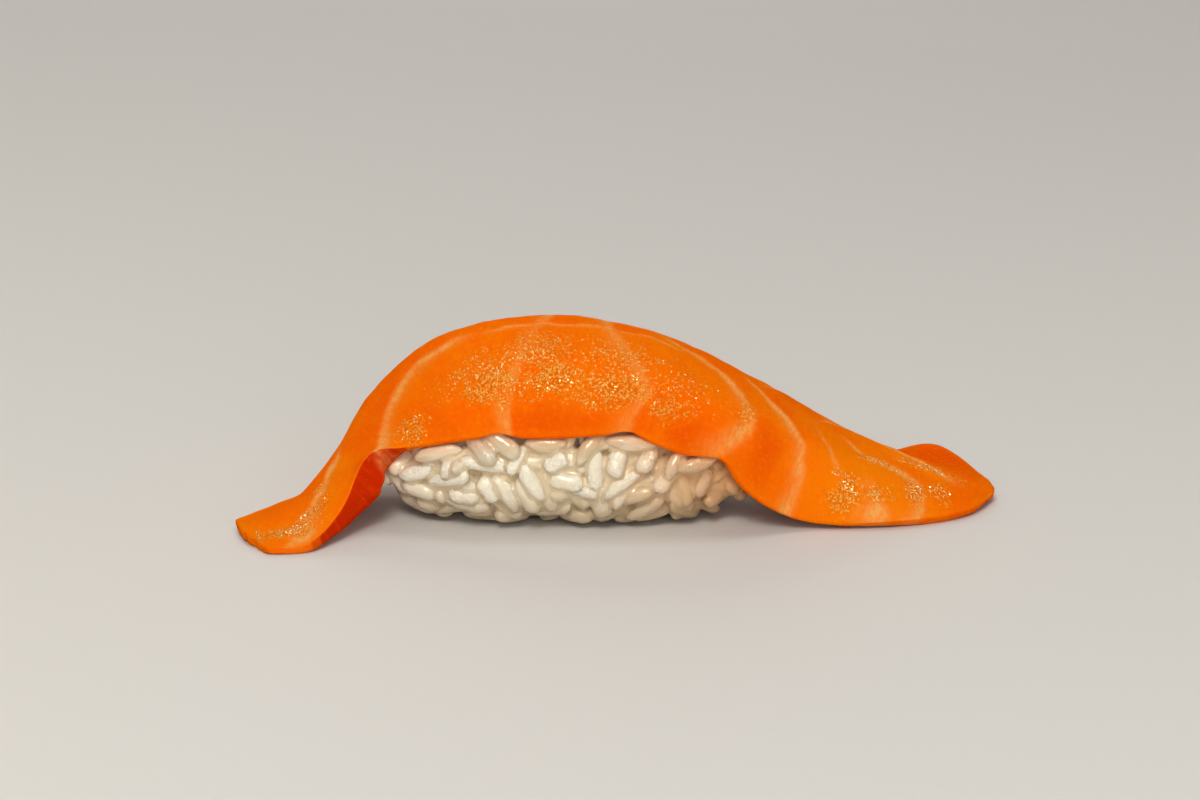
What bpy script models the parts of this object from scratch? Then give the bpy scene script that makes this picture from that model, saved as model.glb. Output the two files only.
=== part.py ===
"""Salmon nigiri: a long slice of raw salmon draped over a hand-pressed block of sushi rice.

Two solids, in metres, +Z up, standing on the plane z = 0:
  rice_block    the pressed rice, out to its uneven outline, with a flat base
  salmon_slice  the slice, lofted over the rice, with both of its tails lying on the board
X runs along the rice. The wide tail is at +X, and the narrow tail at -X is bent towards -Y.
"""

import math

import bpy
from mathutils import Matrix, Vector, noise
from mathutils.bvhtree import BVHTree

MM = 0.001  # every size below is in millimetres

# Rice block
RICE_LENGTH = 55.0
RICE_WIDTH = 27.0
RICE_HEIGHT = 25.0
RICE_CENTRE_X = -7.0
RICE_CENTRE_Z = 10.8
RICE_SQUARENESS = 0.72  # 1 is an ellipse, 0 is a box
RICE_BASE_DROP = 12.5  # how far the round form would reach under its centre, before the board flattens it
RICE_LUMP = 0.75  # how far the grains stand proud of the packed form
RICE_LUMP_SIZE = 4.2
RICE_RINGS = 42
RICE_SPOKES = 40
FIT_GAP = 0.5  # between rice and fish
SPINE_SHARE = 0.8  # the rice's spine is this share of its length

# Salmon slice. Three guide lines run along its upper side, from the left tail to the right one, as
# points (x, y, z). They are cut into equal steps, and each step is a section across the slice.
NEAR_HEM = (
    (-49.2, -22.8, 0.9), (-43.4, -22.0, 1.4), (-39.0, -16.2, 4.8),  # left tail, and its foot
    (-35.6, -10.8, 11.2), (-29.8, -12.0, 12.6), (-20.0, -14.2, 14.6),  # the fall, and on to the rice
    (-9.0, -14.5, 14.7), (2.0, -14.4, 14.9), (10.2, -13.8, 11.9),
    (15.6, -13.9, 11.3), (19.2, -13.6, 6.2), (27.5, -11.6, 1.3),  # down past the rice's end
    (39.5, -11.0, 1.2), (50.6, -6.0, 1.2), (55.6, 2.2, 1.4),
)
RIDGE = (
    (-53.2, -17.0, 1.5), (-46.3, -9.0, 3.6), (-40.9, -2.8, 9.2), (-35.6, 0.8, 17.2),
    (-25.4, 1.2, 25.5), (-11.0, 1.2, 28.3), (5.0, 1.6, 25.9), (20.0, 3.0, 18.7),
    (34.0, 4.4, 10.4), (46.5, 3.4, 5.5), (55.8, 4.2, 1.6),
)
FAR_HEM = (
    (-54.8, -11.0, 1.5), (-46.5, -2.0, 2.2), (-38.0, 7.5, 2.2), (-30.0, 13.2, 7.6),
    (-17.0, 15.0, 14.5), (0.0, 15.3, 14.0), (15.0, 15.7, 10.6), (25.5, 16.6, 3.0),
    (37.5, 16.7, 2.6), (47.8, 16.0, 4.8), (55.2, 7.2, 1.9),
)
# These values stand at equal steps along the slice, from its left end to its right end.
NEAR_BULGE = (0.0, 0.1, 0.1, 0.35, 0.42, 0.42, 0.42, 0.42, 0.42, 0.36, 0.25, 0.15, 0.0)
FAR_BULGE = (0.0, 0.1, 0.1, 0.3, 0.42, 0.42, 0.42, 0.42, 0.38, 0.25, 0.05, -0.25, 0.0)
THICKNESS = (1.2, 2.4, 3.4, 4.2, 4.8, 5.0, 5.0, 5.0, 4.8, 4.6, 4.2, 3.4, 1.4)
# Both hems are thinner than that, apart from the blunt cut down the near side of the left tail. Each
# entry is a share of the slice's length, and the share of the full thickness that is left there.
NEAR_HEM_SHARE = (
    (0.0, 0.6), (0.07, 0.75), (0.11, 1.1), (0.15, 1.55), (0.175, 1.3), (0.2, 0.35),
    (0.23, 0.2), (0.66, 0.2), (0.76, 0.28), (0.92, 0.35), (1.0, 0.5),
)
FAR_HEM_SHARE = ((0.0, 0.6), (0.12, 0.8), (0.22, 0.4), (0.3, 0.2), (0.66, 0.2), (0.92, 0.35), (1.0, 0.5))
HEM_WIDTH = 0.22  # how much of each side the thinning takes
SLICE_ROWS = 72
SLICE_COLUMNS = 22
GUIDE_SAMPLES = 600
HEM_CALM = 8  # rows


def spline(values, t):
    """A smooth curve through the values, read at t, where the values stand at 0, 1, 2 and so on."""
    last = len(values) - 1
    i = min(int(t), last - 1)
    f = t - i
    a, b = values[i], values[i + 1]
    before = values[i - 1] if i > 0 else a * 2 - b
    after = values[i + 2] if i + 2 <= last else b * 2 - a
    return (
        b * ((4 * f - 3 * f * f + 1) * f) + a * ((3 * f - 5) * f * f + 2)
        + before * ((2 - f) * f - 1) * f + after * (f - 1) * f * f
    ) / 2


def along_profile(values, share):
    """The value of a profile at a share of the slice's length."""
    return spline(values, share * (len(values) - 1))


def between(stations, share):
    """The value at a share of the slice's length, eased from one station to the next."""
    for (start, low), (end, high) in zip(stations, stations[1:]):
        if share <= end:
            eased = 0.5 - 0.5 * math.cos(math.pi * max(0.0, share - start) / (end - start))
            return low + (high - low) * eased
    return stations[-1][1]


def guide(points):
    """One point for each row of the slice, at equal steps along the smooth line through the points."""
    vectors = [Vector(point) for point in points]
    fine = [along_profile(vectors, i / GUIDE_SAMPLES) for i in range(GUIDE_SAMPLES + 1)]
    run = [0.0]
    for a, b in zip(fine, fine[1:]):
        run.append(run[-1] + (b - a).length)
    placed = []
    k = 0
    for i in range(SLICE_ROWS + 1):
        wanted = run[-1] * i / SLICE_ROWS
        while k < GUIDE_SAMPLES - 1 and run[k + 1] < wanted:
            k += 1
        share = (wanted - run[k]) / (run[k + 1] - run[k])
        placed.append(fine[k].lerp(fine[k + 1], share))
    return placed


def flank(hem, ridge, bulge):
    """The point half way up from a hem to the ridge: at bulge 0 on a straight line, at 0.42 on an ellipse."""
    corner = Vector((hem.x, hem.y, ridge.z))
    middle = (hem + ridge) / 2
    return middle + (corner - middle) * bulge


def calmed(line, i):
    """A hem's point with its neighbours averaged in, so that a notch in the hem stays out of the flank."""
    reach = min(HEM_CALM, i, SLICE_ROWS - i)
    near = line[i - reach:i + reach + 1]
    return sum(near, Vector()) / len(near)


def slice_grid():
    """The upper side of the slice, as rows of points across it, from the near hem to the far one."""
    rows = []
    near_line, ridge_line, far_line = (guide(points) for points in (NEAR_HEM, RIDGE, FAR_HEM))
    for i, ridge in enumerate(ridge_line):
        share = i / SLICE_ROWS
        near, far = near_line[i], far_line[i]
        near_flank = flank(calmed(near_line, i), ridge, along_profile(NEAR_BULGE, share))
        far_flank = flank(calmed(far_line, i), ridge, along_profile(FAR_BULGE, share))
        knots = [near, near_flank, ridge, far_flank, far]
        rows.append([along_profile(knots, j / SLICE_COLUMNS) for j in range(SLICE_COLUMNS + 1)])
    return rows


def thickness_at(i, j):
    """How thick the slice is at a grid point: full in the middle and thin at the hems."""
    share = i / SLICE_ROWS
    hem = between(NEAR_HEM_SHARE if j * 2 < SLICE_COLUMNS else FAR_HEM_SHARE, share)
    from_hem = min(j, SLICE_COLUMNS - j) / SLICE_COLUMNS / HEM_WIDTH
    eased = math.sin(min(1.0, from_hem) * math.pi / 2)
    return along_profile(THICKNESS, share) * (hem + (1 - hem) * eased)


def lower_side(rows):
    """The upper side moved inwards by the thickness, and laid flat where it meets the board."""
    lower = []
    for i, row in enumerate(rows):
        line = []
        for j, point in enumerate(row):
            along = rows[min(i + 1, SLICE_ROWS)][j] - rows[max(i - 1, 0)][j]
            across = row[min(j + 1, SLICE_COLUMNS)] - row[max(j - 1, 0)]
            inner = point - along.cross(across).normalized() * thickness_at(i, j)
            inner.z = max(inner.z, 0.0)
            line.append(inner)
        lower.append(line)
    return lower


def new_object(name, points, faces, colour, roughness):
    mesh = bpy.data.meshes.new(name)
    mesh.from_pydata([point * MM for point in points], [], faces)
    mesh.shade_smooth()
    material = bpy.data.materials.new(name)
    material.use_nodes = True
    shader = material.node_tree.nodes["Principled BSDF"]
    shader.inputs["Base Color"].default_value = (*colour, 1)
    shader.inputs["Roughness"].default_value = roughness
    mesh.materials.append(material)
    made = bpy.data.objects.new(name, mesh)
    bpy.context.scene.collection.objects.link(made)
    return made


def make_slice():
    upper = slice_grid()
    lower = lower_side(upper)
    across = SLICE_COLUMNS + 1
    below = (SLICE_ROWS + 1) * across
    points = [p for side in (upper, lower) for row in side for p in row]
    faces = []
    for i in range(SLICE_ROWS):
        for j in range(SLICE_COLUMNS):
            a = i * across + j
            top = (a, a + across, a + across + 1, a + 1)
            faces += [top, tuple(v + below for v in reversed(top))]
    rim = list(range(across))
    rim += [i * across + SLICE_COLUMNS for i in range(1, SLICE_ROWS + 1)]
    rim += [SLICE_ROWS * across + j for j in reversed(range(SLICE_COLUMNS))]
    rim += [i * across for i in reversed(range(1, SLICE_ROWS))]
    for a, b in zip(rim, rim[1:] + rim[:1]):
        faces.append((a, b, b + below, a + below))
    made = new_object("salmon_slice", points, faces, (0.93, 0.16, 0.01), 0.3)
    return made, points, faces


def make_rice(roof):
    """The rice block, pressed up against the underside of the slice, which roof holds."""
    centre = Vector((RICE_CENTRE_X, 0.0, RICE_CENTRE_Z))
    points = []

    def power(value):
        return math.copysign(abs(value) ** RICE_SQUARENESS, value)

    def free(along, around):
        """A point of the packed form, before the slice presses on it."""
        reach = power(math.sin(along))
        up = power(math.sin(around))
        rise = RICE_HEIGHT - RICE_CENTRE_Z if up > 0 else RICE_BASE_DROP
        point = Vector((
            -RICE_LENGTH / 2 * power(math.cos(along)),
            RICE_WIDTH / 2 * power(math.cos(around)) * reach,
            rise * up * reach,
        ))
        lump = noise.noise((centre + point) / RICE_LUMP_SIZE * 2)
        return centre + point + point.normalized() * RICE_LUMP * lump

    def room(point):
        """How far a ray from the rice's spine to the point may go before the slice stops it."""
        spine = Vector((centre.x + (point.x - centre.x) * SPINE_SHARE, 0.0, centre.z))
        away = point - spine
        hit = roof.ray_cast(spine, away)[3]
        return spine, away, away.length if hit is None else min(away.length, hit - FIT_GAP)

    def placed(along, around):
        spine, away, length = room(free(along, around))
        for turn in (-1, 1):
            beside = free(along, around + turn * math.pi * 1.2 / RICE_SPOKES)
            _, reach, limit = room(beside)
            length = min(length, away.length * limit / reach.length)
        point = spine + away.normalized() * length
        point.z = max(point.z, 0.0)
        return point

    points.append(placed(0.0, 0.0))
    for i in range(1, RICE_RINGS):
        for j in range(RICE_SPOKES):
            points.append(placed(math.pi * i / RICE_RINGS, 2 * math.pi * j / RICE_SPOKES))
    points.append(placed(math.pi, 0.0))
    last = len(points) - 1
    faces = []
    for j in range(RICE_SPOKES):
        k = (j + 1) % RICE_SPOKES
        faces.append((0, 1 + k, 1 + j))
        for i in range(RICE_RINGS - 2):
            a = 1 + i * RICE_SPOKES
            faces.append((a + j, a + k, a + RICE_SPOKES + k, a + RICE_SPOKES + j))
        a = last - RICE_SPOKES
        faces.append((a + j, a + k, last))
    return new_object("rice_block", points, faces, (0.8, 0.72, 0.55), 0.4)


def stand_on_origin(pieces):
    """Moves every piece by the same amount, so that the whole stands centred on the origin."""
    corners = [Vector(corner) for piece in pieces for corner in piece.bound_box]
    low = [min(corner[axis] for corner in corners) for axis in range(3)]
    high = [max(corner[axis] for corner in corners) for axis in range(3)]
    shift = Vector((-(low[0] + high[0]) / 2, -(low[1] + high[1]) / 2, -low[2]))
    for piece in pieces:
        piece.data.transform(Matrix.Translation(shift))


def main():
    for old in list(bpy.data.objects):
        bpy.data.objects.remove(old)
    fish, points, faces = make_slice()
    rice = make_rice(BVHTree.FromPolygons(points, faces))
    stand_on_origin([fish, rice])


main()
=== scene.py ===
# %% [markdown]
# # Salmon nigiri
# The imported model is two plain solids: a block of pressed rice, and the slice of raw salmon over it.
# This lesson keeps their sizes and places and gives them their looks: real rice grains over a starchy
# bed, and a wet slice whose fat lines follow its own length and girth.

# %% Load the frame
import math

import bpy
import numpy as np
from mathutils import Matrix, Vector, noise
from mathutils.bvhtree import BVHTree
from mathutils.kdtree import KDTree


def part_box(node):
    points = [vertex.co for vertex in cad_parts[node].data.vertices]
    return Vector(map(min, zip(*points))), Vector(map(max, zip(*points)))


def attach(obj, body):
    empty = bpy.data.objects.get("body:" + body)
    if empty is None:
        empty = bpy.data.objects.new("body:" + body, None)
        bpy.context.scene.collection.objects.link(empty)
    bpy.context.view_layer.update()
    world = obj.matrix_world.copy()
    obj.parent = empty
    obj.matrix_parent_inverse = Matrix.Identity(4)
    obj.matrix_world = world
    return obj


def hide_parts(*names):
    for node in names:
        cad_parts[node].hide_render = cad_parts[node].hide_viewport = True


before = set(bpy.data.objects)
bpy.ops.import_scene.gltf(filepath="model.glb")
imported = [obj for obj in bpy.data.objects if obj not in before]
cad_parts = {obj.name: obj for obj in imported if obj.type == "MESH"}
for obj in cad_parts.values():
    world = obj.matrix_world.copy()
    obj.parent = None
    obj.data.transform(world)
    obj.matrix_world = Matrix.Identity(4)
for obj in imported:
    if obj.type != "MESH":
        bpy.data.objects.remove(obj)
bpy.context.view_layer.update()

MM = 0.001
rice_low, rice_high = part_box("rice_block")
slice_low, slice_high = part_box("salmon_slice")
print("rice height (mm):", round((rice_high.z - rice_low.z) / MM, 1))

# %% [markdown]
# ## Two habits for working with operators
# An operator acts on whatever is selected, and loading the frame leaves its solids selected. So a piece
# is always made the only selected one first. A copy of a solid also needs its corners merged, because
# its triangles come apart: each one owns its three corners.

# %% Selecting, and copying a solid
def select_only(piece):
    bpy.ops.object.select_all(action="DESELECT")
    piece.select_set(True)
    bpy.context.view_layer.objects.active = piece


def finish_modifier(piece, kind, **settings):
    """Adds a modifier and applies it at once."""
    select_only(piece)
    modifier = piece.modifiers.new(kind.title(), kind)
    for name, value in settings.items():
        setattr(modifier, name, value)
    bpy.ops.object.modifier_apply(modifier=modifier.name)


def copy_of_solid(node_name, piece_name):
    """A closed mesh of its own, made from a solid of the frame."""
    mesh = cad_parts[node_name].data.copy()
    mesh.name = piece_name
    mesh.materials.clear()
    piece = bpy.data.objects.new(piece_name, mesh)
    bpy.context.scene.collection.objects.link(piece)
    select_only(piece)
    bpy.ops.object.mode_set(mode="EDIT")
    bpy.ops.mesh.select_all(action="SELECT")
    bpy.ops.mesh.remove_doubles(threshold=0.005 * MM)
    bpy.ops.mesh.normals_make_consistent(inside=False)
    bpy.ops.object.mode_set(mode="OBJECT")
    return piece


def corners_of(mesh):
    """A mesh's points as an array, in metres."""
    flat = np.empty(len(mesh.vertices) * 3, np.float32)
    mesh.vertices.foreach_get("co", flat)
    return flat.reshape(-1, 3).astype(float)


def normals_of(mesh):
    """The way a mesh's surface looks at each point."""
    flat = np.empty(len(mesh.vertices) * 3, np.float32)
    mesh.vertex_normals.foreach_get("vector", flat)
    return flat.reshape(-1, 3).astype(float)


def store(mesh, name, values):
    """Keeps one number for each point of a mesh, for its material to read."""
    layer = mesh.attributes.new(name, "FLOAT", "POINT")
    layer.data.foreach_set("value", np.asarray(values, np.float32))


def surface_of(piece):
    """A tree for finding the nearest place on a piece and for casting rays at it."""
    mesh = piece.data
    return BVHTree.FromPolygons([v.co for v in mesh.vertices], [tuple(p.vertices) for p in mesh.polygons])


# %% [markdown]
# ## Camera, light and floor
# The piece is seen from just above the board, through a long lens that keeps both tails in proportion.
# The key lamp stands in front and a little to the left, a weak one hangs overhead, and two broad ones
# low down, in front and behind, lift the shade under the slice. None of the four shows in a reflection.
# Four small lamps do the opposite: they are seen in wet surfaces and nowhere else, which gives the
# flesh its fine sparkle without hard shadows.

# %% Camera
LENS = 128
VIEW_DISTANCE = 620 * MM
VIEW_ELEVATION = math.radians(16)
aim = Vector((-2.8, 3.0, 16.2)) * MM
toward_camera = Vector((0, -math.cos(VIEW_ELEVATION), math.sin(VIEW_ELEVATION)))
bpy.ops.object.camera_add(location=aim + toward_camera * VIEW_DISTANCE,
                          rotation=(math.pi / 2 - VIEW_ELEVATION, 0, 0))
camera = bpy.context.object
camera.data.lens = LENS
camera.data.sensor_width = 36
camera.data.clip_start = 10 * MM
bpy.context.scene.camera = camera
bpy.context.scene.view_settings.view_transform = "Standard"
print("camera stands (mm):", [round(value / MM) for value in camera.location])


# %% Lamps and sky
def soft_lamp(name, side, azimuth, elevation, distance, watts, colour=(1, 1, 1)):
    """A square lamp that faces the piece, from a compass direction with 0 in front and 90 on the right."""
    turn, rise = math.radians(azimuth), math.radians(elevation)
    away = Vector((math.sin(turn) * math.cos(rise), -math.cos(turn) * math.cos(rise), math.sin(rise)))
    bpy.ops.object.light_add(type="AREA", location=aim + away * distance)
    lamp = bpy.context.object
    lamp.name = name
    lamp.rotation_euler = away.to_track_quat("Z", "Y").to_euler()
    lamp.data.size = side
    lamp.data.energy = watts
    lamp.data.color = colour
    return lamp


SOFT_LAMPS = (
    # name, side (m), azimuth, elevation, distance (m), watts, colour
    ("key", 0.24, -10, 45, 0.8, 2.9, (1, 0.96, 0.90)), ("top", 0.30, 170, 80, 0.8, 1.2, (1, 0.98, 0.95)),
    ("fill", 0.70, 12, 13, 1.1, 3.7, (1, 0.97, 0.93)), ("back", 0.60, 190, 26, 1.1, 2.6, (1, 0.95, 0.88)),
)
for settings in SOFT_LAMPS:
    lamp = soft_lamp(*settings)
    lamp.visible_glossy = False
SPARKLES = (
    ("front sparkle", -6, 46, 13.0), ("right sparkle", 60, 42, 10.0),
    ("back right sparkle", 144, 43, 5.0), ("back left sparkle", -154, 37, 4.0),
)
for name, azimuth, elevation, watts in SPARKLES:
    sparkle = soft_lamp(name, 0.07, azimuth, elevation, distance=0.8, watts=watts, colour=(1, 0.86, 0.62))
    sparkle.visible_diffuse = False
sky = bpy.data.worlds.new("sky")
sky.use_nodes = True
sky.node_tree.nodes["Background"].inputs["Color"].default_value = (1.0, 0.98, 0.95, 1)
sky.node_tree.nodes["Background"].inputs["Strength"].default_value = 0.24
sky.cycles_visibility.glossy = False
bpy.context.scene.world = sky


# %% Floor
def plain_material(name, colour, roughness):
    material = bpy.data.materials.new(name)
    material.use_nodes = True
    shader = material.node_tree.nodes["Principled BSDF"]
    shader.inputs["Base Color"].default_value = (*colour, 1)
    shader.inputs["Roughness"].default_value = roughness
    shader.inputs["Specular IOR Level"].default_value = 0.1
    return material


bpy.ops.mesh.primitive_plane_add(size=6, location=(0, 0, -0.05 * MM))
floor = bpy.context.object
floor.name = "floor"
floor.data.materials.append(plain_material("pale_board", (0.70, 0.69, 0.67), 0.6))

# %% [markdown]
# ## Upper face, cut edge and underside
# A knife leaves three kinds of surface. The upper face is what a guest sees, the cut edge is as wide as
# the slice is thick, and the underside lies on the rice. The upper face and the underside each curve
# gently from end to end, so walking from face to neighbour over shallow edges gathers each one whole.
# What the walk leaves over is the cut edge, between its two corners.

# %% Gather the sides of the slice
UPPER, CUT, UNDER = 0, 1, 2
SHALLOW = math.radians(20)
salmon = copy_of_solid("salmon_slice", "salmon")
faces_at_edge = {}
for face in salmon.data.polygons:
    for key in face.edge_keys:
        faces_at_edge.setdefault(key, []).append(face.index)
directions = [face.normal.copy() for face in salmon.data.polygons]
neighbours = [[] for face in directions]
for a, b in faces_at_edge.values():
    if directions[a].angle(directions[b]) < SHALLOW:
        neighbours[a].append(b)
        neighbours[b].append(a)


def walk_from(start, seen):
    """Every face that can be reached from one over shallow edges."""
    reached = [start]
    seen.add(start)
    for face in reached:
        for other in neighbours[face]:
            if other not in seen:
                seen.add(other)
                reached.append(other)
    return reached


seen = set()
regions = [walk_from(k, seen) for k in range(len(directions)) if k not in seen]
broad = sorted(regions, key=len)[-2:]
broad.sort(key=lambda region: sum(directions[k].z for k in region) / len(region))
for side in (UPPER, CUT, UNDER):
    salmon.data.materials.append(None)
for face in salmon.data.polygons:
    face.material_index = CUT
for region, side in zip(broad, (UNDER, UPPER)):
    for k in region:
        salmon.data.polygons[k].material_index = side
print("faces of the underside and the upper face:", [len(region) for region in broad], "of", len(directions))

# %% [markdown]
# ## A smooth, closed body
# The solid's faces are flat triangles, so they are turned back into four-sided faces and subdivided.
# That rounds the slice as a knife and a wet thumb leave it, and gives enough points for low relief. A
# crease along both corners of the cut edge keeps them crisp.

# %% Turn the triangles back into quads
select_only(salmon)
bpy.ops.object.mode_set(mode="EDIT")
bpy.ops.mesh.select_all(action="SELECT")
bpy.ops.mesh.tris_convert_to_quads(face_threshold=math.radians(50), shape_threshold=math.radians(60),
                                   topology_influence=1.0, materials=True)
bpy.ops.object.mode_set(mode="OBJECT")
four_sided = sum(len(face.vertices) == 4 for face in salmon.data.polygons)
print("four-sided faces:", four_sided, "of", len(salmon.data.polygons))

# %% Crease the corners and subdivide
CREASE = 0.6
sides_at_edge = {}
for face in salmon.data.polygons:
    for key in face.edge_keys:
        sides_at_edge.setdefault(key, set()).add(face.material_index)
upper_hem = [key for key, sides in sides_at_edge.items() if sides == {UPPER, CUT}]
lower_hem = [key for key, sides in sides_at_edge.items() if sides == {UNDER, CUT}]
corners = set(upper_hem + lower_hem)
bpy.ops.object.mode_set(mode="EDIT")
bpy.ops.mesh.select_mode(type="EDGE")
bpy.ops.mesh.select_all(action="DESELECT")
bpy.ops.object.mode_set(mode="OBJECT")
for edge in salmon.data.edges:
    edge.select = tuple(sorted(edge.vertices)) in corners
bpy.ops.object.mode_set(mode="EDIT")
bpy.ops.transform.edge_crease(value=CREASE)
bpy.ops.object.mode_set(mode="OBJECT")


def tree_of(places):
    """A tree for finding the nearest of some places."""
    tree = KDTree(len(places))
    for k, place in enumerate(places):
        tree.insert(Vector(place), k)
    tree.balance()
    return tree


upper_hem_tree = tree_of([salmon.data.vertices[corner].co for key in upper_hem for corner in key])
lower_hem_tree = tree_of([salmon.data.vertices[corner].co for key in lower_hem for corner in key])
print("edges creased:", len(corners))
finish_modifier(salmon, "SUBSURF", levels=2, render_levels=2)
print("slice points:", len(salmon.data.vertices))

# %% [markdown]
# ## Finding a way round the slice
# Fat lines cross the slice from hem to hem, over its crown. To draw them, each point needs two
# measures: how far it lies along the slice, and how far round it, from the crown's line to a hem. The
# crown's line is found by standing at the middle of the slice and dropping a ray on it, step by step.

# %% Measure along and round
STEPS = 45
slice_surface = surface_of(salmon)
points = corners_of(salmon.data)
crown = []
for x in np.linspace(slice_low.x + 1.5 * MM, slice_high.x - 1.5 * MM, STEPS):
    near_x = points[abs(points[:, 0] - x) < 1.6 * MM]
    y = (near_x[:, 1].min() + near_x[:, 1].max()) / 2
    landed = slice_surface.ray_cast(Vector((x, y, 0.1)), Vector((0, 0, -1)))[0]
    crown.append((x, y, landed.z if landed else near_x[:, 2].mean()))
crown = np.array(crown)
for _ in range(2):
    crown[1:-1] = (crown[:-2] + 2 * crown[1:-1] + crown[2:]) / 4
run = np.concatenate([[0], np.cumsum(np.linalg.norm(np.diff(crown, axis=0), axis=1))])
print("length along the crown (mm):", round(run[-1] / MM, 1))


def along_and_round(places):
    """Millimetres along the crown's line, and millimetres from it, with the near side negative."""
    best = np.full(len(places), np.inf)
    along = np.zeros(len(places))
    round_it = np.zeros(len(places))
    for i in range(STEPS - 1):
        start, step = crown[i], crown[i + 1] - crown[i]
        share = np.clip(((places - start) @ step) / (step @ step), 0, 1)
        here = start + share[:, None] * step
        gap = np.linalg.norm(places - here, axis=1)
        side = np.sign(step[0] * (places[:, 1] - here[:, 1]) - step[1] * (places[:, 0] - here[:, 0]))
        closer = gap < best
        best[closer] = gap[closer]
        along[closer] = (run[i] + share * np.linalg.norm(step))[closer]
        round_it[closer] = (side * gap)[closer]
    return along / MM, round_it / MM


along, round_it = along_and_round(points)
print("round it (mm):", round(round_it.min(), 1), "to", round(round_it.max(), 1))

# %% [markdown]
# ## Fat lines
# The white lines in salmon are thin walls of fat between the flakes of muscle. A slice cuts through
# them at a slant, so they come out as arcs from hem to hem. Each is listed as a few places on the
# slice, (along, round) in millimetres, with its half width and its strength. Every point of the mesh
# keeps two numbers: how much of the pale line it shows, and how much of the yellow glow on the line's
# soft side, where thin fat lies slanting under the flesh.

# %% Lay out the fat lines
FAT_LINES = (
    # places                                             half width at its start and its end, strength
    (((16, -12), (18, -9), (20, -7.5), (25, -4.7), (30, -3.6), (38, -2.8), (46, -2)), 1.1, 0.7, 0.95),
    (((46, -2.2), (56, -1.6), (70, -1.4), (78, -2.2)), 0.4, 0.4, 0.8),
    (((59, 14), (58, 7), (57, 1), (55, -4), (51.5, -12), (49, -17), (50, -23)), 0.9, 1.5, 0.6),
    (((69, 20), (66, 10), (66, 0), (68.6, -7), (72.5, -12.5), (71, -17), (69, -24)), 0.9, 1.5, 0.6),
    (((73, 3), (77, 0), (83, -3), (86.5, -7.6), (88.6, -11.5), (87.4, -14.7), (84, -19)), 0.45, 1.6, 1.0),
    (((87, 1), (91, -4.6), (95, -8.3), (98.5, -12.6), (100, -17), (100, -22)), 0.45, 1.9, 1.1),
    (((99, -4), (103, -9.3), (105, -11), (106, -13)), 0.35, 0.5, 0.8),
    (((104, -2), (108, -4.7), (112.5, -5), (115, -7), (115.7, -12), (114, -16)), 0.45, 1.3, 1.15),
    (((109, -10), (110.3, -13.5), (111.3, -18)), 0.8, 2.0, 1.15),
    # This line follows the right tail's ridge: its pale colour is partly a painted highlight on the fold.
    (((104, 4.5), (110, 2.5), (114.3, -0.3), (118.8, -2.4), (123.1, -3.7)), 0.5, 0.7, 1.3),
    (((3, -11), (6.2, -7.3), (8.6, -3.4), (11.2, -1.6), (14, -0.3), (16.7, 1.3), (20, 2.6)), 0.9, 0.55, 1.3),
    (((21, 16), (27, 8), (33, 5), (42, 3)), 1.0, 0.5, 0.8),
    (((43, 22), (46, 14), (50, 8), (56, 5)), 1.4, 0.6, 0.7),
    (((84, 22), (84, 14), (81, 7), (77, 2)), 1.5, 0.5, 0.8),
    (((97, 20), (98, 12), (94, 5), (90, 0)), 1.5, 0.5, 0.8),
    (((112, 16), (110, 9), (105, 3), (99, -2)), 1.0, 0.4, 0.7),
)


def smooth_path(places, steps=8):
    """The places, with more between them on a smooth curve."""
    knots = [Vector((*place, 0)) for place in places]
    knots = [knots[0] * 2 - knots[1]] + knots + [knots[-1] * 2 - knots[-2]]
    path = []
    for a, b, c, d in zip(knots, knots[1:], knots[2:], knots[3:]):
        for k in range(steps):
            t = k / steps
            path.append(b + ((c - a) * t + (a * 2 - b * 5 + c * 4 - d) * t * t
                             + (b * 3 - a - c * 3 + d) * t * t * t) / 2)
    path.append(knots[-2])
    return np.array([(p.x, p.y) for p in path])


def gap_to_path(across, path):
    """Millimetres from a path to each place, negative on its left, how far from its ends that is, and
    how much of the path lies before it."""
    lengths = np.concatenate([[0], np.cumsum(np.linalg.norm(np.diff(path, axis=0), axis=1))])
    best = np.full(len(across), np.inf)
    left = np.ones(len(across))
    from_end = np.zeros(len(across))
    before = np.zeros(len(across))
    for start, end, reached in zip(path, path[1:], lengths):
        step = end - start
        share = np.clip(((across - start) @ step) / (step @ step), 0, 1)
        off = across - start - share[:, None] * step
        gap = np.linalg.norm(off, axis=1)
        closer = gap < best
        best[closer] = gap[closer]
        left[closer] = np.where(step[0] * off[:, 1] - step[1] * off[:, 0] < 0, -1, 1)[closer]
        passed = reached + share * np.linalg.norm(step)
        from_end[closer] = np.minimum(passed, lengths[-1] - passed)[closer]
        before[closer] = (passed / lengths[-1])[closer]
    return left * best, from_end, before


def bumps(places, size, seed):
    """Smooth unevenness between about -1 and 1, with swells of a given size."""
    shift = Vector((seed * 7.1, seed * 3.3, seed * 5.7))
    return np.array([noise.noise(Vector(place) / size + shift) for place in places])


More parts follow.
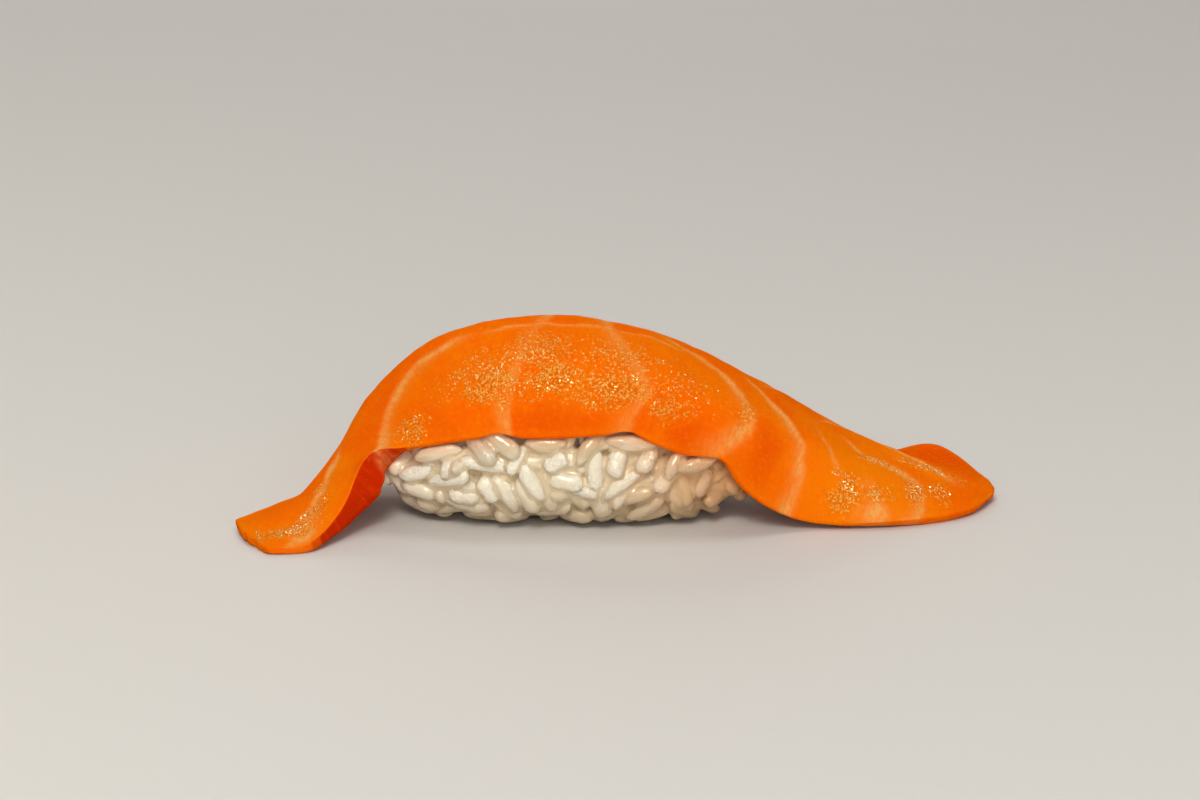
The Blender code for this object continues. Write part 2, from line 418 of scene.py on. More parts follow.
TAPER = 4.0
WANDER = 0.7
GLOW_REACH = 3.2
CRISP_SHARE, SOFT_SHARE = 0.55, 1.15  # of the half width, on a line's two sides
across = np.stack([along + WANDER * bumps(points, 3 * MM, 11) + 0.3 * bumps(points, 0.9 * MM, 12),
                   round_it + WANDER * bumps(points, 3 * MM, 13)], axis=1)
uneven = 0.8 + 0.5 * bumps(points, 4.5 * MM, 14)
fat = np.zeros(len(points))
glow = np.zeros(len(points))
for places, start_width, end_width, strength in FAT_LINES:
    gap, from_end, before = gap_to_path(across, smooth_path(places))
    half_width = start_width + (end_width - start_width) * before ** 1.5
    fading = strength * uneven * np.clip(0.1 + from_end / TAPER, 0, 1)
    crisp_side = np.exp(-(gap / (CRISP_SHARE * half_width)) ** 2)
    soft_side = np.exp(-(gap / (SOFT_SHARE * half_width)) ** 2)
    fat = np.maximum(fat, fading * np.where(gap > 0, crisp_side, soft_side))
    glow = np.maximum(glow, fading * np.where(gap > 0, crisp_side, np.exp(gap / GLOW_REACH)))
print("fat covers", round(100 * float((fat > 0.3).mean()), 1), "% of the slice")

# %% [markdown]
# ## Patches
# Three more things vary from place to place: some patches are a deeper red, partly painted shade and
# partly flakes of a deeper tone, fat makes others yellower, and the wet skin is finely beaded in some
# areas and smooth in others; its beads carry painted glints. All are soft patches.

# %% Lay out the patches
# Deeper red patches: partly painted shade where the slice turns from the light, partly flakes of a deeper
# tone.
DEEP_FLAKES_AND_SHADE = (
    # along, round, reach along, reach round, strength
    (92.5, -12, 3.0, 6, 0.9), (82, -16.5, 4, 2.5, 0.6), (60, -18, 12, 2.2, 0.5), (30, -15, 6, 3, 0.35),
    (120, 8, 9, 7, 0.8), (96, 6, 5, 5, 0.4), (60, 15, 9, 5, 0.5), (28, 12, 6, 6, 0.4), (4, 3, 5, 5, 0.3),
)
YELLOW_FLAKES = (
    (108, -11, 11, 8, 1.0), (101, -5, 6, 4, 0.6), (83, -8, 4.5, 4, 0.6), (62, -13, 6, 2.5, 0.4),
    (46, -12, 3, 4, 0.3), (5, -6, 5, 3, 0.4), (104, 8, 6, 4, 0.4), (52, 12, 6, 4, 0.4),
)
# Beaded skin: real fine relief and gloss, plus painted glints and painted crease shade in the material.
BEADED_SKIN_AND_GLINTS = (
    (48, -12.5, 5, 2.2, 0.9), (57.5, -12.7, 6, 2.2, 1.0), (67, -13.4, 6, 2.0, 1.0), (76, -14, 4, 1.8, 0.7),
    (56, -7.5, 6, 3.6, 0.6), (68, -8.5, 7, 3.2, 0.5), (46, -9.5, 7, 3.0, 0.4), (78, -11, 5, 3, 0.4),
    (25.5, -10.6, 3, 2.2, 0.8), (87.4, -10, 1.3, 3, 0.6), (106.3, -13, 1.8, 2.6, 0.9),
    (110, -11.4, 1.4, 1.8, 0.8), (115, -9, 1.2, 2.6, 0.9), (119.5, -8, 3, 2.4, 0.5),
    (110.5, -5, 4, 0.8, 0.9), (60, -10, 24, 4, 0.28), (4.5, -6, 3.4, 1.7, 0.9), (8.4, -4, 2.6, 1.2, 0.9),
    (13, -0.8, 3, 0.8, 0.6), (118, -2.2, 6, 1, 0.7), (50, 11, 9, 4, 0.4), (72, 13, 8, 3.6, 0.45),
    (92, 9, 7, 4, 0.35), (22, 6, 6, 3, 0.35), (112, 6, 5, 3, 0.35),
)


def patches(places, listed):
    """How far each place lies inside any of the listed patches, from 0 to 1."""
    inside = np.zeros(len(places))
    for at_along, at_round, reach_along, reach_round, strength in listed:
        off = ((places[:, 0] - at_along) / reach_along) ** 2 + ((places[:, 1] - at_round) / reach_round) ** 2
        inside = np.maximum(inside, strength * np.exp(-off ** 1.5))
    return inside


ragged = across + 1.2 * np.stack([bumps(points, 2.2 * MM, 15), bumps(points, 2.2 * MM, 16)], axis=1)
glow = np.maximum(glow, patches(ragged, YELLOW_FLAKES))
deep = patches(across, DEEP_FLAKES_AND_SHADE) * (1 - glow)
beaded = patches(ragged, BEADED_SKIN_AND_GLINTS)
print("beaded skin covers", round(100 * float((beaded > 0.3).mean()), 1), "% of the slice")

# %% [markdown]
# ## How thick, and how near an edge
# Thin meat is paler, because the rice shows through. The thickness at each point is the length of a ray
# sent in there. The way to the cut edge is measured to its corners, and the width of the cut between
# the two corners tells a thick cut, painted a darker red as shade, from a thin hem.

# %% Measure thickness and the way to the cut edge
LONGEST_THROUGH = 6.5
JUST_INSIDE = 0.05
HEM_SAMPLES = 14
sides_at_point = np.zeros((len(points), 3), bool)
for face in salmon.data.polygons:
    for corner in face.vertices:
        sides_at_point[corner, face.material_index] = True
normals = normals_of(salmon.data)
thickness = np.full(len(points), LONGEST_THROUGH)
from_hem = np.zeros(len(points))
cut_width = np.zeros(len(points))
for i, (point, normal) in enumerate(zip(points, normals)):
    through = slice_surface.ray_cast(Vector(point - normal * JUST_INSIDE * MM), Vector(-normal))[3]
    if through is not None:
        thickness[i] = min(through / MM, LONGEST_THROUGH)
    to_upper = upper_hem_tree.find(Vector(point))[2]
    to_lower = lower_hem_tree.find(Vector(point))[2]
    from_hem[i] = min(to_upper, to_lower) / MM
    hem_nearby = [corner for corner, k, gap in upper_hem_tree.find_n(Vector(point), HEM_SAMPLES)]
    cut_width[i] = sum(lower_hem_tree.find(corner)[2] for corner in hem_nearby) / len(hem_nearby) / MM
print("thickness (mm):", round(thickness.min(), 2), "to", round(thickness.max(), 2))
print("widest cut edge (mm):", round(cut_width[sides_at_point[:, CUT]].max(), 1))

# %% [markdown]
# ## Low relief
# Between its fat lines each flake of muscle swells a little, and the lines themselves lie in shallow
# dips. A hand-cut slice is never quite even either. These are real hollows and swells, a few tenths of
# a millimetre deep, moved along the surface's own direction; finer grain is left to the material. The
# hems get their nicks here too: two in the left tail, and two where the near hem rides up over the rice.

# %% Shape the flakes
FLAKE_SWELL = 0.22
LINE_DIP = 0.14
steady = np.clip(from_hem / 2.5, 0.2, 1) * np.where(sides_at_point[:, UNDER], 0.4, 1.0)
relief = FLAKE_SWELL * bumps(points, 9 * MM, 1) + 0.09 * bumps(points, 2.6 * MM, 2)
relief += 0.05 * beaded * bumps(points, 1.2 * MM, 4) - LINE_DIP * fat
relief = relief * steady + 0.12 * bumps(points, 3.5 * MM, 3) * (from_hem < 1.2)
points += normals * relief[:, None] * MM

# %% Nick the hems
# place on the hem (mm), way in from there, how deep, half its width
NICKS = (
    ((-53.9, -14.6, 0.8), (0.94, 0.34, 0.05), 2.0, 0.4),
    ((-52.4, -16.9, 0.6), (0.94, 0.34, 0.05), 0.7, 0.7),
    ((-17.2, -10.6, 13.6), (0, 0.25, 1), 1.2, 2.3),
    ((1.0, -10.4, 14.6), (0, 0.25, 1), 0.9, 2.2),
)
for place, way_in, deep_in, half_width in NICKS:
    way_in = np.array(Vector(way_in).normalized())
    off = points / MM - np.array(place)
    inland = off @ way_in
    beside = np.linalg.norm(off - inland[:, None] * way_in, axis=1)
    pull = deep_in * np.exp(-(beside / half_width) ** 2 - np.maximum(inland, 0) / (1.4 * deep_in))
    points += way_in * (pull * (inland > -4))[:, None] * MM
points[:, 2] = np.maximum(points[:, 2], slice_low.z)
salmon.data.vertices.foreach_set("co", points.astype(np.float32).ravel())
salmon.data.update()
select_only(salmon)
bpy.ops.object.shade_smooth()
for name, values in (("along", along), ("round", round_it), ("fat", fat), ("glow", glow), ("deep", deep),
                     ("beaded", beaded), ("thickness", thickness), ("cut_width", cut_width)):
    store(salmon.data, name, values)
print("relief (mm):", round(relief.min(), 2), "to", round(relief.max(), 2))

# %% [markdown]
# ## Building materials from nodes
# Every material here starts from a Principled shader. One helper makes a node, sets its options and
# either links a socket or fills it with a number, so a material reads as a short recipe.

# %% Node helpers
def new_material(name):
    material = bpy.data.materials.new(name)
    material.use_nodes = True
    return material, material.node_tree, material.node_tree.nodes["Principled BSDF"]


def add_node(tree, kind, inputs=(), **settings):
    made = tree.nodes.new("ShaderNode" + kind)
    for name, value in settings.items():
        setattr(made, name, value)
    fill(tree, made, dict(inputs))
    return made


def fill(tree, made, inputs):
    for socket, value in inputs.items():
        if isinstance(value, bpy.types.NodeSocket):
            tree.links.new(value, made.inputs[socket])
        else:
            made.inputs[socket].default_value = value


def kept(tree, name):
    """A number that the mesh keeps for each of its points."""
    return add_node(tree, "Attribute", attribute_name=name).outputs["Fac"]


def grain(tree, vector, size_mm, detail=2.0, roughness=0.5):
    """Smooth noise from 0 to 1, with features of a given size."""
    return add_node(tree, "TexNoise", {"Vector": vector, "Scale": 1000 / size_mm, "Detail": detail,
                                       "Roughness": roughness}).outputs["Fac"]


def beads(tree, vector, size_mm):
    """Uneven beads packed side by side: how far up its bead a place lies, and a number each bead draws."""
    swirl = add_node(tree, "TexNoise", {"Vector": vector, "Scale": 700 / size_mm, "Detail": 1.0})
    drift = add_node(tree, "VectorMath", {0: swirl.outputs["Color"], "Scale": 1.4 * size_mm * MM},
                     operation="SCALE").outputs[0]
    place = add_node(tree, "VectorMath", {0: vector, 1: drift}, operation="ADD").outputs[0]
    cells = add_node(tree, "TexVoronoi", {"Vector": place, "Scale": 1000 / size_mm}).outputs
    drawn = add_node(tree, "SeparateColor", {"Color": cells["Color"]}).outputs["Red"]
    return ramp(tree, cells["Distance"], 0.72, 0.22), drawn


def ramp(tree, value, low, high, to_low=0.0, to_high=1.0):
    """A soft step from one number to another as a value passes from low to high."""
    return add_node(tree, "MapRange", {"Value": value, "From Min": low, "From Max": high, "To Min": to_low,
                                       "To Max": to_high}, interpolation_type="SMOOTHSTEP").outputs["Result"]


def maths(tree, operation, a, b=0.0):
    return add_node(tree, "Math", {0: a, 1: b}, operation=operation).outputs[0]


def blend(tree, share, a, b):
    """One colour over another."""
    a, b = [(*c, 1) if isinstance(c, tuple) else c for c in (a, b)]
    return add_node(tree, "Mix", {0: share, 6: a, 7: b}, data_type="RGBA").outputs[2]


def bump(tree, height, depth_mm, normal=None):
    inputs = {"Height": height, "Strength": 1.0, "Distance": depth_mm * MM}
    if normal is not None:
        inputs["Normal"] = normal
    return add_node(tree, "Bump", inputs).outputs["Normal"]


# %% [markdown]
# ## Raw salmon
# Raw salmon is wet, deep orange and translucent: light goes in, spreads a few millimetres and comes
# out redder. So the shader scatters light below the surface, red furthest. The flesh is yellower where
# fat glows through, and the lines themselves are pale and made of short strands. Some patches are a
# deeper red, partly as painted shade, and the thick cut edge and the underside are painted a darker red
# as shade. Where the wet skin is beaded, the flesh is painted yellower as sheen, each bead gets a
# painted glint as a pale fleck between painted shade in its creases, and some beads also catch a small lamp.

# %% Salmon materials
LEAN = (0.94, 0.120, 0.0008)
PALER = (0.95, 0.155, 0.0012)
YELLOW = (0.94, 0.220, 0.0015)
DEEP = (0.78, 0.072, 0.0006)
FATTY = (0.88, 0.39, 0.10)
# The pale fleck colour below is a painted glint on the bead tops, and the creased colour is painted shade
# between the beads.
PAINTED_GLINT = (0.98, 0.72, 0.13)
CREASE_SHADE = (0.70, 0.095, 0.001)
SKIN_BEAD = 0.36
# The cut edge and the underside are painted these darker reds as shade.
CUT_SHADE_RED = (0.56, 0.024, 0.0008)
UNDER_SHADE_RED = (0.52, 0.030, 0.0012)


def salmon_material(name, side):
    """Wet flesh with its fat lines, its fibres and its beads."""
    material, tree, shader = new_material(name)
    place = add_node(tree, "TexCoord").outputs["Object"]
    fibre_way = add_node(tree, "CombineXYZ", {"X": maths(tree, "MULTIPLY", kept(tree, "along"), MM),
                                              "Y": maths(tree, "MULTIPLY", kept(tree, "round"), 0.22 * MM)})
    fibre_way = fibre_way.outputs[0]
    fibres = grain(tree, fibre_way, 0.8, 3)
    flesh = blend(tree, ramp(tree, grain(tree, place, 11), 0.35, 0.65), LEAN, PALER)
    flesh = blend(tree, ramp(tree, fibres, 0.45, 0.75, 0.0, 0.3), flesh, YELLOW)
    # Deeper red patches, partly painted shade and partly deeper flakes.
    flesh = blend(tree, kept(tree, "deep"), flesh, DEEP)
    flesh = blend(tree, maths(tree, "MULTIPLY", kept(tree, "glow"), 0.85), flesh, YELLOW)
    mottling = grain(tree, place, 0.6, 2)
    flesh = blend(tree, ramp(tree, mottling, 0.52, 0.75, 0.0, 0.4), flesh, YELLOW)
    flesh = blend(tree, ramp(tree, mottling, 0.46, 0.25, 0.0, 0.2), flesh, DEEP)
    # A thick cut edge and the underside are painted a darker red as shade.
    if side == CUT:
        flesh = blend(tree, ramp(tree, kept(tree, "cut_width"), 1.1, 1.9), flesh, CUT_SHADE_RED)
        flesh = blend(tree, ramp(tree, fibres, 0.5, 0.8, 0.0, 0.35), flesh, DEEP)
    if side == UNDER:
        flesh = blend(tree, 0.8, flesh, UNDER_SHADE_RED)
    strands = ramp(tree, grain(tree, fibre_way, 0.45, 3), 0.32, 0.62, 0.45, 1.1)
    specks = ramp(tree, grain(tree, place, 0.7, 4), 0.3, 0.6, 0.6, 1.1)
    strands = maths(tree, "MULTIPLY", strands, specks)
    if side != UPPER:
        strands = maths(tree, "MULTIPLY", strands, 0.35)
    flesh = blend(tree, maths(tree, "MULTIPLY", kept(tree, "fat"), strands), flesh, FATTY)
    if side == UPPER:
        flesh = blend(tree, ramp(tree, kept(tree, "thickness"), 2.2, 0.6, 0.0, 0.35), flesh, YELLOW)
    dome, drawn = beads(tree, place, SKIN_BEAD)
    beaded = maths(tree, "MULTIPLY", kept(tree, "beaded"), 1.2 if side == UPPER else 0.0)
    glints = maths(tree, "MULTIPLY", dome, ramp(tree, maths(tree, "SUBTRACT", beaded, drawn), -0.1, 0.25))
    crease_shade = maths(tree, "MULTIPLY", ramp(tree, dome, 0.5, 0.0, 0.0, 0.5), beaded)
    # On beaded skin the flesh is painted yellower as sheen, each bead top gets a painted glint and its
    # creases painted shade; the bump and shine are real.
    flesh = blend(tree, maths(tree, "MULTIPLY", beaded, 0.55), flesh, YELLOW)
    flesh = blend(tree, crease_shade, flesh, CREASE_SHADE)
    flesh = blend(tree, maths(tree, "MULTIPLY", glints, 0.42), flesh, PAINTED_GLINT)
    skin = bump(tree, glints, 0.14)
    skin = bump(tree, grain(tree, fibre_way, 0.5, 3), 0.035, skin)
    skin = bump(tree, grain(tree, place, 2.4, 2), 0.12, skin)
    dullness = ramp(tree, glints, 0.1, 0.6, 0.46, 0.2)
    shine = ramp(tree, glints, 0.3, 0.9, 0.0, 0.8)
    fill(tree, shader, {"Base Color": flesh, "Roughness": dullness, "IOR": 1.36, "Specular IOR Level": shine,
                        "Specular Tint": (1.0, 0.92, 0.7, 1), "Normal": skin, "Subsurface Weight": 0.3,
                        "Subsurface Radius": (1.0, 0.28, 0.08), "Subsurface Scale": 2.2 * MM})
    return material


for side, name in ((UPPER, "salmon_face"), (CUT, "salmon_cut"), (UNDER, "salmon_underside")):
    salmon.data.materials[side] = salmon_material(name, side)
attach(salmon, "root")
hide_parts("salmon_slice")

# %% [markdown]
# ## The rice core
# Pressed rice is grains glued together by their own starch. The core is the inside that nobody sees:
# the rice solid, drawn in by about half a grain, so that real grains can lie around it.

# %% Shrink the core
CORE_DEPTH = 1.6
rice_bed = copy_of_solid("rice_block", "rice_bed")
rice_surface = surface_of(rice_bed)
core_points = corners_of(rice_bed.data) - normals_of(rice_bed.data) * CORE_DEPTH * MM
rice_bed.data.vertices.foreach_set("co", core_points.astype(np.float32).ravel())
rice_bed.data.update()
print("core height (mm):", round(np.ptp(core_points[:, 2]) / MM, 1))

# %% [markdown]
# ## A grain of sushi rice
# A cooked short grain is a fat little cylinder with round ends, here a little over 6 mm long and
# some 2.6 mm wide, and usually a bit bent. It is modelled once along X in a few habits: straight,
# bent, plump, and broken by the press. Hundreds of copies follow, so a grain gets only a few dozen
# faces and relies on smooth shading.

# %% Model the grains
GRAIN_LENGTH = 6.2
GRAIN_WIDTH = 2.75
FILLED_OUT = ((0.19, 1.05), (0.354, 1.24), (0.46, 1.5))  # how far out each pair of rings lies, and its swell


def model_grain(name, bend=0.0, plump=1.0, broken=False):
    """The points and faces of one grain, as long as 1 along X."""
    bpy.ops.object.select_all(action="DESELECT")
    bpy.ops.mesh.primitive_uv_sphere_add(segments=9, ring_count=8, radius=0.5, rotation=(0, math.pi / 2, 0))
    grain_piece = bpy.context.object
    grain_piece.name = name
    bpy.ops.object.transform_apply(rotation=True)
    for reach, swell in FILLED_OUT:
        bpy.ops.object.mode_set(mode="EDIT")
        bpy.ops.mesh.select_mode(type="VERT")
        bpy.ops.mesh.select_all(action="DESELECT")
        bpy.ops.object.mode_set(mode="OBJECT")
        for vertex in grain_piece.data.vertices:
            vertex.select = abs(abs(vertex.co.x) - reach) < 0.02
        bpy.ops.object.mode_set(mode="EDIT")
        bpy.ops.transform.resize(value=(1, swell * plump, swell * plump))
    if broken:
        bpy.ops.mesh.select_all(action="SELECT")
        bpy.ops.mesh.bisect(plane_co=(0.24, 0, 0), plane_no=(0.95, 0.3, 0.1), use_fill=True, clear_outer=True)
    bpy.ops.object.mode_set(mode="OBJECT")
    if bend:
        finish_modifier(grain_piece, "SIMPLE_DEFORM", deform_method="BEND", deform_axis="Z", angle=bend)
    shape = corners_of(grain_piece.data)
    faces = [tuple(p.vertices) for p in grain_piece.data.polygons]
    mesh = grain_piece.data
    bpy.data.objects.remove(grain_piece)
    bpy.data.meshes.remove(mesh)
    return shape, faces


HABITS = (
    model_grain("straight_grain"),
    model_grain("bent_grain", bend=math.radians(38)),
    model_grain("curled_grain", bend=math.radians(75)),
    model_grain("plump_grain", bend=math.radians(15), plump=1.12),
    model_grain("broken_grain", bend=math.radians(10), broken=True),
)
print("faces on each habit:", [len(faces) for shape, faces in HABITS])

# %% [markdown]
# ## Packing the grains
# Pressed grains flatten and sink into one another. Each grain is stood for by five beads along its
# length, and a new grain is only kept where its beads keep about half of the full distance from all
# the others. It may also press into the underside of the slice by about half its own radius. The first
# layer lies just under the solid's own surface, so the heap keeps its size, and a second, deeper layer
# closes the gaps. The row tucked under each hem is tested against the other grains only.

# %% Set out the grains
BEADS = np.linspace(-0.36, 0.36, 5)
draw = np.random.default_rng(7)
solid_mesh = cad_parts["rice_block"].data
solid_points = corners_of(solid_mesh)
solid_faces = np.array([tuple(p.vertices) for p in solid_mesh.polygons])
corner_a, corner_b, corner_c = (solid_points[solid_faces[:, k]] for k in range(3))
face_areas = np.linalg.norm(np.cross(corner_b - corner_a, corner_c - corner_a), axis=1) / 2
print("rice surface (mm2):", round(face_areas.sum() / MM ** 2))


def random_place():
    """A place on the rice solid and the way it faces there."""
    k = draw.choice(len(face_areas), p=face_areas / face_areas.sum())
    s, t = draw.random(2)
    if s + t > 1:
        s, t = 1 - s, 1 - t
    place = corner_a[k] + s * (corner_b[k] - corner_a[k]) + t * (corner_c[k] - corner_a[k])
    return Vector(place), surface_normal(place)


def surface_normal(place):
    landed, facing, index, gap = rice_surface.find_nearest(Vector(place))
    return facing


class Grain:
    """One grain: its middle, three directions, size and habit."""

    def __init__(self, middle, facing, turn, tilt, length, width, habit):
        side = Vector((0, 0, 1)).cross(facing)
        side = side.normalized() if side.length > 0.1 else Vector((1, 0, 0))
        way = Matrix.Rotation(turn, 3, facing) @ side
        way = (way + facing * math.tan(tilt)).normalized()
        flat = (facing - way * facing.dot(way)).normalized()
        roll = Matrix.Rotation(draw.choice((0, math.pi)) + draw.normal(0, 0.4), 3, way)
        self.middle, self.way = middle, way
        self.flat = roll @ flat
        self.across = self.flat.cross(way)
        self.length, self.width, self.habit = length, width, habit
        self.beads = np.array([middle + way * (length * share) for share in BEADS])
        self.radii = width / 2 * np.array([0.8, 1, 1, 1, 0.8])


slice_surface = surface_of(salmon)


PRESSED_IN = 0.45  # how near the slice a grain's middle line may come, as a share of its radius


def clear_of_salmon(grain_, least=PRESSED_IN):
    for bead, radius in zip(grain_.beads, grain_.radii):
        landed, facing, index, gap = slice_surface.find_nearest(Vector(bead))
        inside = (Vector(bead) - landed).dot(facing) < 0
        if inside or gap < radius * least:
            return False
    return True


def room_for(grain_, squeeze):
    if not all_beads:
        return True
    others = np.concatenate(all_beads)
    others_radii = np.concatenate(all_radii)
    near = np.abs(others - grain_.beads[2]).max(axis=1) < 9 * MM
    if not near.any():
        return True
    gaps = np.linalg.norm(others[near][:, None] - grain_.beads[None], axis=2)
    least = (others_radii[near][:, None] + grain_.radii[None]) * squeeze
    return bool((gaps > least).all())


grains, all_beads, all_radii = [], [], []


def keep(grain_):
    grains.append(grain_)
    all_beads.append(grain_.beads)
    all_radii.append(grain_.radii)


HEM_RISE = 0.6
HEM_REACH = 4.0


def try_layer(tries, depth, spread, squeeze, tilt):
    """Keeps grains at about one depth, standing prouder close under the slice's hem."""
    kept_before = len(grains)
    for _ in range(tries):
        place, facing = random_place()
        length = draw.normal(GRAIN_LENGTH, 0.7) * MM
        width = draw.normal(GRAIN_WIDTH, 0.2) * MM
        habit = draw.choice(len(HABITS), p=(0.25, 0.3, 0.15, 0.2, 0.1))
        to_slice = slice_surface.find_nearest(place)[3] / MM
        here = depth * (1 - HEM_RISE * min(max(1.2 - to_slice / HEM_REACH, 0), 1))
        middle = place - facing * (here + draw.uniform(-spread, spread)) * MM
        made = Grain(middle, facing, draw.uniform(0, math.pi), draw.normal(0, tilt), length, width, habit)
        if made.beads[:, 2].min() < made.width * 0.5:
            continue
        if room_for(made, squeeze) and clear_of_salmon(made):
            keep(made)
    return len(grains) - kept_before



# %% Place the grains that catch the eye
# middle along X, middle height, lean in degrees, length, width, habit
PROUD_GRAINS = (
    (-18.6, 10.3, -7, 8.6, 2.3, 0), (-12.6, 7.6, -60, 6.2, 2.6, 1), (-24.8, 7.9, 15, 7.6, 2.5, 0),
    (-19.7, 12.0, 1, 7.4, 2.0, 0), (-9.1, 10.8, 35, 3.6, 2.6, 3), (-7.6, 7.9, -10, 4.8, 2.6, 3),
    (-3.4, 9.4, 90, 6.0, 2.6, 0), (-0.4, 10.9, 75, 4.4, 2.5, 3), (4.0, 11.2, 58, 4.4, 2.4, 3),
    (0.5, 7.6, 35, 6.0, 2.3, 2), (6.8, 8.2, 52, 5.2, 2.5, 3), (12.0, 6.9, 72, 4.8, 2.3, 0),
    (-4.2, 13.3, -35, 3.6, 2.1, 3), (-22.3, 5.2, -5, 4.6, 2.3, 3), (-18.8, 6.4, -60, 4.2, 2.3, 3),
    (-5.0, 6.3, -25, 4.6, 2.4, 1), (9.6, 11.0, 60, 4.2, 2.3, 1), (-14.8, 11.2, 70, 4.4, 2.3, 1),
    (-31.5, 10.4, 70, 5.0, 2.4, 3), (-29.4, 8.2, 20, 5.6, 2.4, 1), (-27.6, 11.4, -20, 5.2, 2.3, 0),
)
PROUD_DEPTH = 0.35
for x, z, lean, length, width, habit in PROUD_GRAINS:
    place, facing = rice_surface.ray_cast(Vector((x * MM, rice_low.y - 0.05, z * MM)), Vector((0, 1, 0)))[:2]
    middle = place - facing * PROUD_DEPTH * MM
    made = Grain(middle, facing, math.radians(lean), 0.0, length * MM, width * MM, habit)
    print("proud grain at", x, z, "clear of the slice:", clear_of_salmon(made, 0.7))
    keep(made)

# %% Tuck a row of grains under each hem
proud_count = len(grains)
TUCKED_SPACING = 3.1
TUCKED_IN = 0.6
for side in (-1, 1):
    for x in np.arange(-26, 13, TUCKED_SPACING):
        near_x = points[(abs(points[:, 0] / MM - x) < 0.8) & (points[:, 1] * side > 3 * MM)]
        if not len(near_x):
            continue
        lowest = near_x[near_x[:, 2].argmin()]
        middle = Vector((x * MM, lowest[1] - side * TUCKED_IN * MM, lowest[2] - draw.uniform(0.9, 1.7) * MM))
        made = Grain(middle, surface_normal(middle), draw.uniform(-0.8, 1.0), 0.0, draw.normal(5.8, 0.8) * MM,
                     draw.normal(2.5, 0.2) * MM, draw.choice(4))
        if room_for(made, 0.45):
            keep(made)
print("grains placed by hand or under a hem:", len(grains))

# %% Fill the rest of the heap
print("outer grains:", try_layer(16000, depth=1.0, spread=0.3, squeeze=0.58, tilt=0.12))
print("inner grains:", try_layer(8000, depth=1.6, spread=0.4, squeeze=0.46, tilt=0.3))

# %% Join the grains
grain_points, grain_faces, tones = [], [], []
reached = 0
for count, made in enumerate(grains):
    shape, faces = HABITS[made.habit]
    milkiness = draw.uniform(0.7, 1.0) if count < proud_count else draw.uniform(0.1, 0.7)
    size = Vector((made.length, made.width, made.width * draw.uniform(0.82, 0.98)))
    uneven = 1 + 0.05 * bumps(shape, 0.45, draw.uniform(0, 50))
    turned = (shape[:, :1] * size.x * np.array(made.way) + shape[:, 1:2] * size.y * np.array(made.across)
              + shape[:, 2:] * size.z * np.array(made.flat))
    grain_points.append(np.array(made.middle) + turned * uneven[:, None])
    grain_faces += [tuple(reached + corner for corner in face) for face in faces]
    tones.append(np.full(len(shape), milkiness))
    reached += len(shape)
grain_points = np.concatenate(grain_points)
grain_points[:, 2] = np.maximum(grain_points[:, 2], 0)
grain_mesh = bpy.data.meshes.new("rice_grains")
grain_mesh.from_pydata(grain_points.tolist(), [], grain_faces)
rice_grains = bpy.data.objects.new("rice_grains", grain_mesh)
bpy.context.scene.collection.objects.link(rice_grains)
select_only(rice_grains)
bpy.ops.object.mode_set(mode="EDIT")
bpy.ops.mesh.select_all(action="SELECT")
bpy.ops.mesh.normals_make_consistent(inside=False)
bpy.ops.object.mode_set(mode="OBJECT")
bpy.ops.object.shade_smooth()
print("grain faces:", len(grain_faces), "of", len(grains), "grains")


def depth_under(surface, places):
    """Millimetres from each place to a surface."""
    return np.array([surface.find_nearest(Vector(place))[3] for place in places]) / MM


store(grain_mesh, "tone", np.concatenate(tones))
store(grain_mesh, "depth", depth_under(rice_surface, grain_points))
store(grain_mesh, "to_salmon", depth_under(slice_surface, grain_points))

# %% [markdown]
# ## Starch between the grains
# Where grains touch, starch fills the crevice and rounds it off. That is what a fine skin over the core
# and a copy of the grains does, once it is smoothed: it sinks below the grains' backs and rises in the
# gaps between them. So the core becomes a bed that each grain is half sunk in, and sunk deeper low
# down, where the hand pressed hardest.

# %% Fill the gaps with starch
SKIN_CELL = 0.36
SKIN_SMOOTHING = 9
SINK = 0.02
PRESSED_HEIGHT = 5.0
copies = rice_grains.copy()
copies.data = grain_mesh.copy()
bpy.context.scene.collection.objects.link(copies)
bpy.ops.object.select_all(action="DESELECT")
copies.select_set(True)
rice_bed.select_set(True)
bpy.context.view_layer.objects.active = rice_bed
bpy.ops.object.join()
finish_modifier(rice_bed, "REMESH", mode="VOXEL", voxel_size=SKIN_CELL * MM)
finish_modifier(rice_bed, "SMOOTH", factor=0.6, iterations=SKIN_SMOOTHING)
bed_points = corners_of(rice_bed.data)
pressed = np.clip(1.4 - bed_points[:, 2] / MM / PRESSED_HEIGHT, 0, 1)
bed_points -= normals_of(rice_bed.data) * (SINK * (1 - pressed))[:, None] * MM
bed_points[:, 2] = np.maximum(bed_points[:, 2], 0)
rice_bed.data.vertices.foreach_set("co", bed_points.astype(np.float32).ravel())
rice_bed.data.update()
select_only(rice_bed)
bpy.ops.object.shade_smooth()
print("bed faces:", len(rice_bed.data.polygons))
for attribute in [a.name for a in rice_bed.data.attributes if a.name in ("tone", "depth", "to_salmon")]:
    rice_bed.data.attributes.remove(rice_bed.data.attributes[attribute])
store(rice_bed.data, "tone", 0.35 + 0.5 * bumps(bed_points, 3 * MM, 8))
store(rice_bed.data, "depth", depth_under(rice_surface, bed_points))
store(rice_bed.data, "to_salmon", depth_under(slice_surface, bed_points))
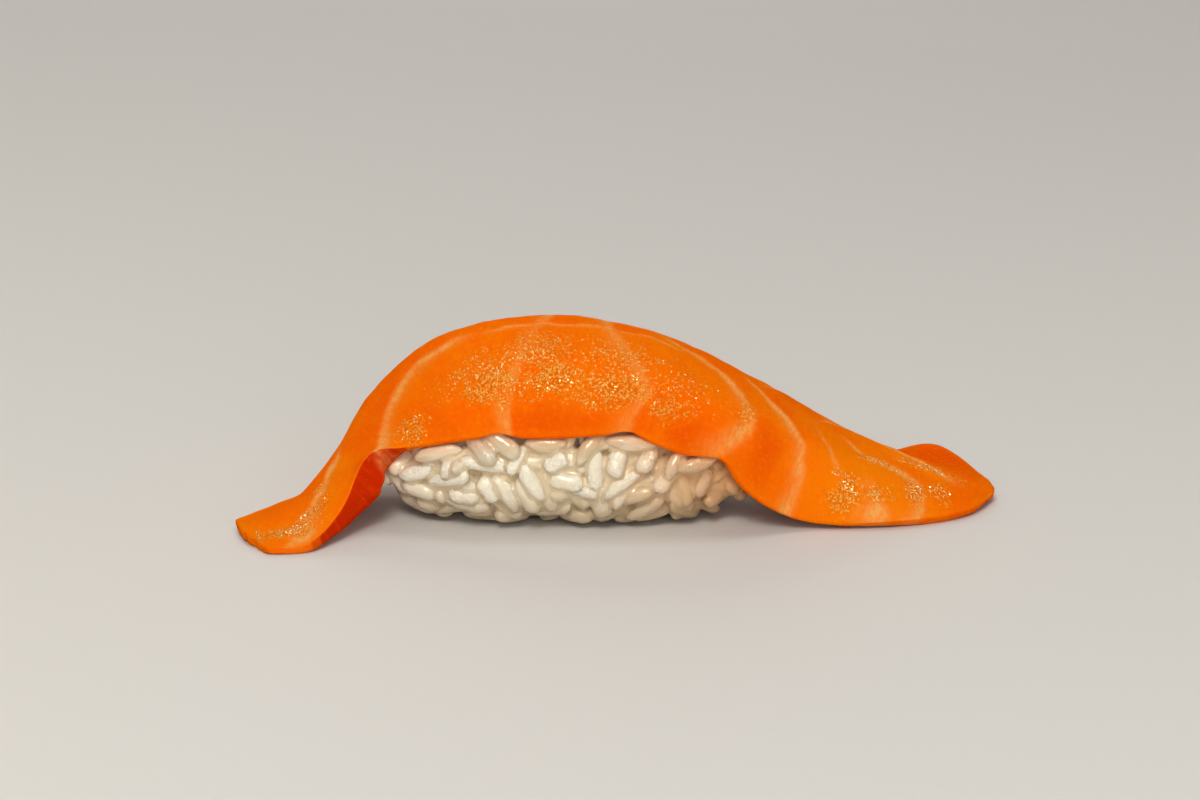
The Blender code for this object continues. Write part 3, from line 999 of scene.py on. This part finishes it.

# %% [markdown]
# ## Cooked rice
# Cooked rice is milky: light enters a grain and fills it. The salmon's orange light is painted onto the
# rice where the two are close, and painted shade with that orange at the end where the slice hangs over
# it. Painted shade darkens it to tan low down and between the grains. The other end is painted lighter,
# and the milkiest grains carry painted glints as small white flecks.

# %% Rice materials
MILKY = (0.93, 0.86, 0.70)
CLEAR = (0.74, 0.61, 0.41)
STARCHY = (0.72, 0.59, 0.40)
# Below: the tan is painted shade, the tinted orange is the salmon's light painted as reflection, and the
# soaked end is painted shade with that orange light.
SHADE_TAN = (0.42, 0.30, 0.18)
ORANGE_BOUNCE = (0.90, 0.50, 0.24)
SHADED_END = (0.70, 0.36, 0.14)
# The wet white below is the colour of painted glints.
GLINT_WHITE = (1.0, 0.97, 0.88)
RICE_BEAD = 0.5


def rice_material(name, whiter, duller, painted_light_share):
    material, tree, shader = new_material(name)
    place = add_node(tree, "TexCoord").outputs["Object"]
    tone = maths(tree, "ADD", kept(tree, "tone"), ramp(tree, grain(tree, place, 2.2, 3), 0.3, 0.7, -0.2, 0.2))
    rice = blend(tree, ramp(tree, tone, 0, 1), duller, whiter)
    where = add_node(tree, "SeparateXYZ", {"Vector": place}).outputs
    # Painted light: the left end is lightened.
    rice = blend(tree, ramp(tree, where["X"], -6 * MM, -18 * MM, 0.0, painted_light_share), rice, whiter)
    # Painted glints: white flecks on the bead tops of the milkier grains.
    dome, drawn = beads(tree, place, RICE_BEAD)
    rice_glints = maths(tree, "MULTIPLY", dome, ramp(tree, maths(tree, "SUBTRACT", tone, drawn), 0.2, 0.5))
    rice = blend(tree, maths(tree, "MULTIPLY", rice_glints, painted_light_share), rice, GLINT_WHITE)
    # Painted shade with the slice's orange light at the end under its overhang.
    rice = blend(tree, ramp(tree, where["X"], -5 * MM, 17 * MM, 0.0, 0.85), rice, SHADED_END)
    # Painted shade: tan low down and deeper in between the grains.
    rice = blend(tree, ramp(tree, where["Z"], 7.5 * MM, 0.5 * MM, 0.0, 0.75), rice, SHADE_TAN)
    rice = blend(tree, ramp(tree, kept(tree, "depth"), 1.1, 2.4, 0.0, 0.4), rice, SHADE_TAN)
    # Painted reflection of the salmon's orange light on the rice close to it.
    rice = blend(tree, ramp(tree, kept(tree, "to_salmon"), 3.0, 0.3, 0.0, 0.35), rice, ORANGE_BOUNCE)
    film = bump(tree, grain(tree, place, 1.3, 2), 0.12)
    film = bump(tree, rice_glints, 0.08, film)
    fill(tree, shader, {"Base Color": rice, "Roughness": 0.26, "IOR": 1.34, "Specular IOR Level": 0.4,
                        "Normal": film, "Subsurface Weight": 0.4, "Subsurface Radius": (1.0, 1.0, 1.0),
                        "Subsurface Scale": 0.9 * MM})
    return material


grain_mesh.materials.append(rice_material("cooked_rice", MILKY, CLEAR, 0.55))
rice_bed.data.materials.clear()
rice_bed.data.materials.append(rice_material("rice_starch", CLEAR, STARCHY, 0.0))
for piece in (rice_grains, rice_bed):
    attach(piece, "root")
    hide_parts("rice_block")
